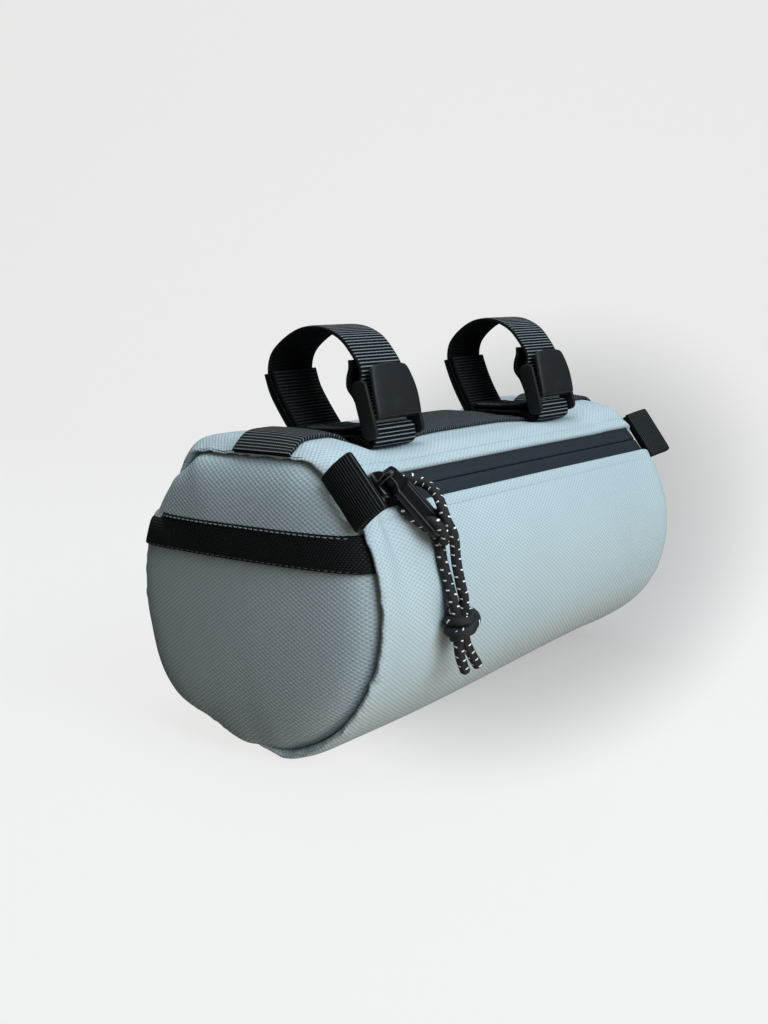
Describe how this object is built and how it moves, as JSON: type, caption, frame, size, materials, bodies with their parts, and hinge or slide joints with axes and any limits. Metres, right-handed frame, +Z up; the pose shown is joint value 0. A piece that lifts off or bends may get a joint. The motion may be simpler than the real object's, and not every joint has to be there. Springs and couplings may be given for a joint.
{
  "type": "handlebar bag",
  "caption": "Barrel-shaped handlebar bag of coated cloth with a flat top, a zip along its front shoulder and webbing loops with cam buckles that hold it on a handlebar.",
  "frame": {"origin": "below the middle of the bag without its pull cord, on the surface that it rests on", "axes": "+X along the barrel, from the zip's closed left end to the right end; -Y to the front, where the zip is; +Z up"},
  "size_m": [0.2312, 0.1283, 0.1497],
  "materials": {
    "cloth": "light blue-grey coated basket weave, satin",
    "webbing": "black ribbed webbing, matte",
    "zip_tape": "black water-resistant zip tape, matte",
    "gloss_fitting": "glossy black",
    "buckle_plastic": "moulded black, fine satin grain",
    "cord": "black braided elastic cord with white flecks"
  },
  "bodies": {
    "root": {"body_panel": "cloth", "end_panel_left": "cloth", "end_panel_right": "cloth", "end_band_left": "webbing", "end_band_right": "webbing", "top_webbing": "webbing", "zip_tape_lower": "zip_tape", "zip_tape_upper": "zip_tape", "zip_slider": "gloss_fitting", "zip_puller": "buckle_plastic", "zip_tab_left": "webbing", "zip_tab_right": "webbing", "pull_cord": "cord", "pull_knot": "cord", "cord_tail_left": "cord", "cord_tail_right": "cord", "strap_left": "webbing", "strap_right": "webbing", "rear_anchor_left": "webbing", "rear_anchor_right": "webbing", "front_anchor_left": "webbing", "front_anchor_right": "webbing", "buckle_frame_left": "buckle_plastic", "buckle_frame_right": "buckle_plastic", "buckle_lever_left": "buckle_plastic", "buckle_lever_right": "buckle_plastic"}
  },
  "joints": []
}
